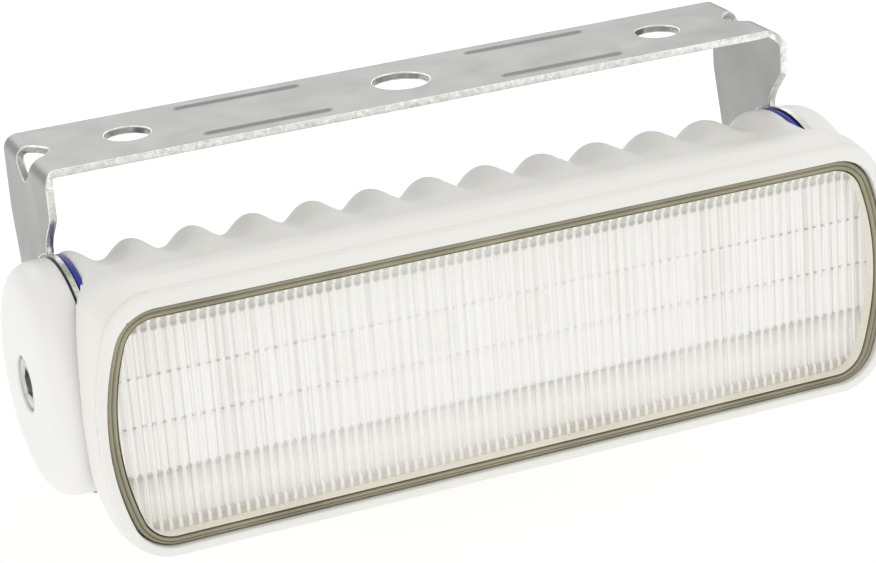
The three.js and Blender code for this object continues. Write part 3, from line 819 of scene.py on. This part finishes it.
def bow_centres(half_length, half_height, end_radius, corner):
    """Middle x of a bowed end, then x and z of the middle of a rounded corner."""
    bow_x = half_length - end_radius
    fillet_z = half_height - corner
    return bow_x, bow_x + np.sqrt((end_radius - corner) ** 2 - fillet_z**2), fillet_z


def bowed(x, z, half_length, half_height, end_radius, corner):
    """Distance to a long rounded rectangle with bowed ends."""
    x, z = np.abs(x), np.abs(z)
    bow_x, fillet_x, fillet_z = bow_centres(half_length, half_height, end_radius, corner)
    flat = np.maximum(z - half_height, np.hypot(x - bow_x, z) - end_radius)
    px, pz = x - fillet_x, z - fillet_z
    in_corner = (px > 0) & ((fillet_x - bow_x) * pz > fillet_z * px)
    return np.where(in_corner, np.hypot(px, pz) - corner, flat)


def window_sizes(offset):
    return [WINDOW[k] + offset for k in ("half_length", "half_height", "end_radius", "corner")]


def window(x, z, offset):
    return bowed(x, z - WINDOW_MIDDLE, *window_sizes(offset))


def smoothed_flare(depths):
    """The flare's four sizes at each depth, with the steps between its rows smoothed out."""
    reach = 15
    weights = np.hanning(2 * reach + 1)
    columns = []
    for sizes in FLARE.T[1:]:
        raw = np.interp(depths, FLARE[:, 0], sizes)
        padded = np.pad(raw, reach, "reflect", reflect_type="odd")
        columns.append(np.convolve(padded, weights / weights.sum(), "valid"))
    return columns


FLARE_DEPTHS = np.arange(FLARE[0, 0], FLARE_BACK + 0.01, 0.1)
FLARE_SMOOTH = smoothed_flare(FLARE_DEPTHS)


def flare_distance(x, y, z):
    length, height, corner, bow = (np.interp(y, FLARE_DEPTHS, column) for column in FLARE_SMOOTH)
    body = bowed(x, z, length, height, (height**2 + bow**2) / (2 * bow), corner)
    groove = PARTING["radius"] - np.hypot(body, y - PARTING["y"])
    body = np.maximum(body, groove)
    return np.maximum(rounded_max(body, LIP_Y - y, 0.5), y - FLARE_BACK)


def barrel_distance(x, y, z):
    turn = 2 * math.pi / RIDGE["pitch"]
    height = RIDGE["crest"] - RIDGE["valley"]
    radius = RIDGE["valley"] + height * (0.5 + 0.5 * np.cos(turn * x)) ** RIDGE["sharpness"]
    slope = 0.5 * height * turn * np.sin(turn * x)
    body = (np.hypot(y, z) - radius) / np.sqrt(1 + slope * slope)
    return rounded_max(body, np.abs(x) - END_FACE, 0.35)


def rod(u, v, along, radius, start, end):
    """Distance to a rod whose axis is at u = v = 0."""
    return np.maximum(np.hypot(u, v) - radius, np.maximum(start - along, along - end))


def hollow_distance(x, y, z):
    box = np.maximum(np.maximum(np.abs(x) - CAVITY["half_length"], np.abs(z) - CAVITY["half_height"]), y)
    box = np.maximum(box, CAVITY["floor"] - 1 - y)
    front = np.maximum(window(x, z, CAVITY["offset"]), y - CAVITY["floor"])
    drum = rod(y, z, np.abs(x), CAVITY["radius"], -1, CAVITY["half_length"])
    return np.minimum(np.minimum(box, front), drum)


def housing_distance(x, y, z):
    """Negative inside the housing's plastic."""
    shell = smooth_min(flare_distance(x, y, z), barrel_distance(x, y, z), FOOT_BLEND)
    boss = rounded_max(np.hypot(x, z) - GLAND["boss"], y - GLAND["boss_end"], 0.6)
    shell = smooth_min(shell, np.maximum(boss, 10 - y), 2.0)
    cap_room = np.maximum(np.hypot(y, z) - CAP_CLEARANCE, END_FACE - np.abs(x))
    shell = rounded_max(shell, -cap_room, 0.3)
    pocket = np.maximum(window(x, z, POCKET["offset"]), y - POCKET["floor"])
    shell = rounded_max(shell, -pocket, 0.25)
    shell = np.maximum(shell, -hollow_distance(x, y, z))
    across = np.abs(x)
    inner = rod(y, z, across, PIVOT_BOSS["radius"], PIVOT_BOSS["start"], PIVOT_BOSS["end"])
    holes = rod(y, z, across, PIVOT_BOSS["hole"], PIVOT_BOSS["hole_start"], END_FACE + 1)
    for post_x, post_z, start, end in POSTS:
        u, v = across - post_x, np.abs(z) - post_z
        inner = np.minimum(inner, rod(u, v, y, POST_RADIUS, start, end))
        holes = np.minimum(holes, rod(u, v, y, POST_HOLE, start - 1, end - 7))
    holes = np.minimum(holes, rod(x, z, y, GLAND["clearance"], 8, GLAND["boss_end"] + 1))
    return np.maximum(np.minimum(shell, inner), -holes)


def planes(*spans):
    """Grid planes from (start, end, step) spans that meet end to end."""
    parts = [np.arange(start, end - step / 2, step) for start, end, step in spans]
    return np.concatenate([*parts, [spans[-1][1]]])


def housing_grid():
    fine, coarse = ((0.3, 0.75))
    half_x = planes((0, 71.4, coarse), (71.4, 80.4, fine))
    half_z = planes((0, 21.5, coarse), (21.5, 26.6, fine))
    xs = np.concatenate([-half_x[:0:-1], half_x])
    zs = np.concatenate([-half_z[:0:-1], half_z])
    ys = planes((-33.4, -32, fine * 0.7), (-32, -31, 0.12), (-31, -29.5, fine), (-29.5, 25.2, coarse))
    return xs + 0.013, ys, zs + 0.017


def cell_quads(inside, index):
    """Quads round every grid edge that the surface crosses, facing outwards."""
    quads = []
    for axis in range(3):
        order = (axis, (axis + 1) % 3, (axis + 2) % 3)
        field, cells = (np.moveaxis(grid, order, (0, 1, 2)) for grid in (inside, index))
        low, high = field[:-1, 1:-1, 1:-1], field[1:, 1:-1, 1:-1]
        i, j, k = np.nonzero(low != high)
        ring = np.stack([cells[i, j, k], cells[i, j + 1, k], cells[i, j + 1, k + 1], cells[i, j, k + 1]], 1)
        outwards = low[i, j, k]
        quads.append(np.where(outwards[:, None], ring, ring[:, ::-1]))
    return np.concatenate(quads)


def settle(points, distance, limit, rounds=5):
    """Moves points onto the surface where the distance is zero."""
    step = 0.02
    for _ in range(rounds):
        here = distance(*points.T)
        slope = np.stack([
            (distance(*(points + offset).T) - distance(*(points - offset).T)) / (2 * step)
            for offset in np.eye(3) * step
        ], 1)
        size = np.maximum(np.sum(slope * slope, 1), 0.05)
        move = -slope * (here / size)[:, None]
        length = np.linalg.norm(move, axis=1, keepdims=True)
        points = points + move * np.minimum(1, limit / np.maximum(length, 1e-9))
    return points


def corners_inside(inside):
    """How many of each grid cell's eight corners lie inside."""
    total = inside.astype(np.int8)
    total = total[:-1] + total[1:]
    total = total[:, :-1] + total[:, 1:]
    return total[:, :, :-1] + total[:, :, 1:]


def housing_mesh():
    xs, ys, zs = housing_grid()
    inside = housing_distance(xs[:, None, None], ys[None, :, None], zs[None, None, :]) < 0
    total = corners_inside(inside)
    mixed_cells = (total > 0) & (total < 8)
    index = np.full(mixed_cells.shape, -1)
    index[mixed_cells] = np.arange(mixed_cells.sum())
    i, j, k = np.nonzero(mixed_cells)
    middles = [(axis[:-1] + axis[1:]) / 2 for axis in (xs, ys, zs)]
    start = np.stack([middles[0][i], middles[1][j], middles[2][k]], 1)
    return settle(start, housing_distance, 0.35), cell_quads(inside, index)


def add_housing(looks):
    points, faces = housing_mesh()
    add_piece(
        "housing_shell", in_row(points), faces.tolist(), [looks["white"]],
        "lamp", ["housing"], 50,
    )


# ------------------------------------------------------------------ window pieces

def window_loop(offset):
    """The window's outline moved outwards by an offset, always with the same number of points."""
    half_length, half_height, end_radius, corner = window_sizes(offset)
    bow_x, fillet_x, fillet_z = bow_centres(half_length, half_height, end_radius, corner)
    touch = math.degrees(math.atan2(fillet_z, fillet_x - bow_x))
    lower = arc((fillet_x, -fillet_z), corner, -90, -touch, WINDOW_STEPS["corner"])[:-1]
    end = arc((bow_x, 0), end_radius, -touch, touch, WINDOW_STEPS["end"])
    upper = arc((fillet_x, fillet_z), corner, touch, 90, WINDOW_STEPS["corner"])[1:]
    top = [(x, half_height) for x in np.linspace(fillet_x, -fillet_x, WINDOW_STEPS["top"] + 1)[1:-1]]
    half = lower + end + upper + top
    return [(x, z + WINDOW_MIDDLE) for x, z in half + [(-x, -z) for x, z in half]]


def swept_ring(section):
    """A closed ring round the window from (offset, depth) points of its section."""
    loops = [[(x, depth, z) for x, z in window_loop(offset)] for offset, depth in section]
    size, count = len(loops[0]), len(loops)
    faces = []
    for s in range(count):
        for i in range(size):
            here, there = s * size, (s + 1) % count * size
            after = (i + 1) % size
            faces.append((here + i, here + after, there + after, there + i))
    return np.array([p for loop in loops for p in loop]), faces


def lowered(points, amounts):
    """The points moved down: by their whole amounts at the window's bottom, by nothing above its middle."""
    depth = np.clip((WINDOW_MIDDLE - points[:, 2]) / WINDOW["half_height"], 0, 1)
    return points - np.outer(amounts * depth**3, (0, 0, 1))


def add_gasket(looks):
    points, faces = swept_ring(GASKET_SECTION)
    outer, inner = GASKET_SECTION[0][0], GASKET_SECTION[-1][0]
    offsets = np.repeat([offset for offset, _ in GASKET_SECTION], len(points) // len(GASKET_SECTION))
    points = lowered(points, LENS_DROP * (outer - offsets) / (outer - inner))
    add_piece(
        "window_gasket", in_row(points), faces, [looks["seal"]], "lamp", ["lens_gasket"], 60,
    )


def lens_half_height(x):
    """Half the lens's height at each distance along it."""
    half_length, half_height, end_radius, corner = window_sizes(LENS["offset"])
    bow_x, fillet_x, fillet_z = bow_centres(half_length, half_height, end_radius, corner)
    touch_x = fillet_x + corner * (fillet_x - bow_x) / (end_radius - corner)
    x = np.abs(x)
    round_part = fillet_z + np.sqrt(np.maximum(corner**2 - (x - fillet_x) ** 2, 0))
    end_part = np.sqrt(np.maximum(end_radius**2 - (x - bow_x) ** 2, 0))
    return np.where(x < fillet_x, half_height, np.where(x < touch_x, round_part, end_part))


def lens_columns():
    """Distances along the lens: eight to a flute, closer together at the bowed ends."""
    limit = WINDOW["half_length"] + LENS["offset"]
    per_flute = 8
    step = LENS["pitch"] / per_flute
    count = int((limit - 1) / step)
    middle = np.arange(-count, count + 1) * step
    rest = limit - middle[-1]
    ends = middle[-1] + rest * np.sin(np.linspace(0, math.pi / 2, 10))[1:]
    return np.concatenate([-ends[::-1], middle, ends])


def flute_rise(x, z):
    """How far the fluted back stands out at a point of the lens."""
    phase = np.mod(x / LENS["pitch"], 1.0)
    across = np.abs(phase - 0.5) * 2
    crown = np.sqrt(np.maximum(1 - (across / 1.02) ** 2, 0)) ** 0.8
    past = np.maximum(np.abs(z - WINDOW_MIDDLE) - (LENS["flutes"] - FLUTE_FADE), 0) / FLUTE_FADE
    end = np.sqrt(np.maximum(1 - past**2, 0))
    line = 0.0
    for height in LENS_LINES:
        line = np.maximum(line, np.exp(-(((z - height) / 0.22) ** 2)))
    return LENS["rise"] * crown * end * (1 - 0.45 * line)


def lens_rows():
    reach = LENS["flutes"]
    dense = [-reach - 0.02, -reach + 0.1, -reach + 0.3, -reach + 0.6, -reach + 1.0]
    lines = [height + shift for height in LENS_LINES for shift in (-0.5, -0.25, -0.1, 0, 0.1, 0.25, 0.5)]
    ends = [WINDOW_MIDDLE + sign * row for row in dense for sign in (-1, 1)]
    return np.array(sorted(ends + lines + [-14.0, -5.0, 5.0, 14.0]))


def lens_mesh():
    columns = lens_columns()
    half = lens_half_height(columns)
    rows = lens_rows()
    low, high = WINDOW_MIDDLE - half[:, None], WINDOW_MIDDLE + half[:, None]
    inner = np.sort(np.clip(rows[None, :], low + 0.02, high - 0.02), 1)
    z = np.concatenate([low, inner, high], 1)
    x = np.repeat(columns[:, None], z.shape[1], 1)
    rise = flute_rise(x, z)
    edge = np.minimum(1, (half[:, None] - np.abs(z - WINDOW_MIDDLE)) / 0.4)
    tip = np.minimum(1, (columns[-1] - np.abs(x)) / 0.8)
    rise *= np.clip(edge, 0, 1) * np.clip(tip, 0, 1)
    back = np.stack([x, LENS["back"] + rise, z], 2)
    front = np.stack([x, np.full_like(x, LENS["front"]), z], 2)
    return np.concatenate([front.reshape(-1, 3), back.reshape(-1, 3)]), *lens_faces(*x.shape)


def lens_faces(width, height):
    """Front and fluted back, then the sides, of a plate of width by height points; and their looks."""
    shift = width * height
    faces, looks = [], []
    for i in range(width - 1):
        for j in range(height - 1):
            a, b = i * height + j, (i + 1) * height + j
            faces.append((a, b, b + 1, a + 1))
            faces.append((a + shift, a + 1 + shift, b + 1 + shift, b + shift))
            looks += [0, 1]
    for i in range(width - 1):
        low, high = i * height, (i + 1) * height
        low_top, high_top = low + height - 1, high + height - 1
        faces.append((high, low, low + shift, high + shift))
        faces.append((low_top, high_top, high_top + shift, low_top + shift))
    for j in range(height - 1):
        last = (width - 1) * height + j
        faces.append((j, j + 1, j + 1 + shift, j + shift))
        faces.append((last + 1, last, last + shift, last + 1 + shift))
    looks += [2] * (len(faces) - len(looks))
    return faces, looks


def add_lens(looks):
    points, faces, face_looks = lens_mesh()
    points = lowered(points, LENS_DROP)
    add_piece(
        "fluted_lens", in_row(points), faces,
        [looks["lens_front"], looks["lens_flutes_painted_light"], looks["lens_edge"]],
        "lamp", ["lens"], 60, face_looks,
    )


# ------------------------------------------------------------------ cable gland

def add_gland(looks):
    bore, boss_end, end = GLAND["bore"], GLAND["boss_end"], GLAND["end"]
    seat, shelf = boss_end + 0.3, GLAND["thread_end"] + 1.9
    thread_end = GLAND["thread_end"]
    body = [
        (15.5, bore), (15.5, 4.3), (15.8, 4.6), (seat, 4.6), (seat, 7.2, "hex"), (seat + 0.3, 7.6, "hex"),
        (seat + 2.7, 7.6, "hex"), (seat + 3.0, 7.2, "hex"), (seat + 3.0, 5.4), (thread_end - 0.3, 5.4),
        (thread_end, 5.1), (thread_end, bore),
    ]
    start = boss_end + 3.6
    nut = [
        (start, 5.7), (start, 7.0, "ribbed"), (start + 0.2, 7.15, "ribbed"), (end - 2.0, 7.15, "ribbed"),
        (end - 1.5, 6.95), (end - 0.8, 6.4), (end - 0.25, 5.8), (end, 5.2), (end, bore + 0.3),
        (end - 0.3, bore), (shelf, bore), (shelf, 5.7),
    ]
    low = thread_end + 0.3
    seal = [(low, bore), (low, 5.2), (low + 0.2, 5.4), (low + 1.1, 5.4), (low + 1.3, 5.2), (low + 1.3, bore)]
    for name, profile, node_name, look, slot in (
        ("gland_body_detailed", body, "gland_body", "black", "black_moulding"),
        ("gland_nut_detailed", nut, "gland_nut", "black", "black_moulding"),
        ("gland_seal_detailed", seal, "gland_seal", "rubber", "black_rubber"),
    ):
        points, faces = turned(profile, 120)
        add_piece(name, in_row(along_y(points)), faces, [looks[look]], "lamp", [node_name], 35)


# ------------------------------------------------------------------ finishes

def make_looks():
    satin = {"relief": 0.000012, "variation": 0.012, "wear": 0.1}
    return {
        "white": moulded("satin_white", (0.835, 0.83, 0.795), 0.42, **satin),
        "cap_white": moulded("satin_white_cap", (0.85, 0.847, 0.83), 0.4, **satin),
        "steel": brushed("rolled_sheet", (0.36, 0.365, 0.355), 0.38, flat_coords, 6.0, 900.0),
        "cut_edge": burnished("burnished_edge", 1.0),
        # Hole walls: the same sheared edge with painted shade, darkened towards near-black.
        "hole_edge_painted_shade": burnished("hole_edge_painted_shade", 0.45),
        "bolt_steel": machined("bolt_steel", (0.6, 0.6, 0.59), 0.3),
        "blue": moulded("blue_nylon", (0.02, 0.04, 0.36, 1), 0.45, variation=0.12),
        "seal": moulded("olive_silicone", (0.33, 0.31, 0.215), 0.5, variation=0.2, relief=0.00003),
        "lens_front": clear_front("clear_polycarbonate"),
        "lens_flutes_painted_light": fluted_back("fluted_polycarbonate_painted_light"),
        "lens_edge": moulded("frosted_edge", (0.86, 0.82, 0.70), 0.3, variation=0.06),
        "black": moulded("black_nylon", (0.016, 0.016, 0.017), 0.5, variation=0.2, relief=0.00003),
        "rubber": moulded("black_rubber", (0.012, 0.012, 0.012), 0.75, variation=0.25, relief=0.00004),
    }


def rolled(name, colour, roughness):
    return brushed(name, colour, roughness, object_coords, 30.0, 4000.0)


def finish_cad_nodes():
    """Materials for the CAD nodes that stay as they are."""
    screws = tuple(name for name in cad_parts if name.endswith("_screw"))
    finishes = {
        ("reflector",): moulded("metallised_tray", (0.93, 0.93, 0.91), 0.22, metallic=0.3),
        ("led_board",): moulded("white_solder_mask", (0.86, 0.86, 0.84), 0.4),
        ("thermal_pad",): moulded("grey_gap_pad", (0.35, 0.37, 0.40), 0.85, variation=0.08),
        ("heat_spreader",): rolled("plain_aluminium", (0.62, 0.63, 0.64), 0.38),
        ("driver_board",): moulded("green_solder_mask", (0.03, 0.15, 0.06), 0.4, variation=0.1),
        ("driver_inductor",): moulded("ferrite", (0.03, 0.03, 0.032), 0.6, variation=0.2),
        ("driver_capacitor",): rolled("can_aluminium", (0.55, 0.56, 0.57), 0.35),
        ("left_threaded_insert", "right_threaded_insert"): machined("turned_brass", (0.60, 0.38, 0.11), 0.3),
        tuple(f"led_{i}" for i in range(1, 7)): moulded("phosphor", (0.85, 0.68, 0.25), 0.35),
        screws: machined("screw_steel", (0.55, 0.55, 0.54), 0.32),
    }
    for names, look in finishes.items():
        for name in names:
            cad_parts[name].data.materials.clear()
            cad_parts[name].data.materials.append(look)


add_camera()
add_lights()
add_floor()
LOOKS = make_looks()
add_bracket(LOOKS)
add_clamps(LOOKS)
add_housing(LOOKS)
add_gasket(LOOKS)
add_lens(LOOKS)
add_gland(LOOKS)
finish_cad_nodes()
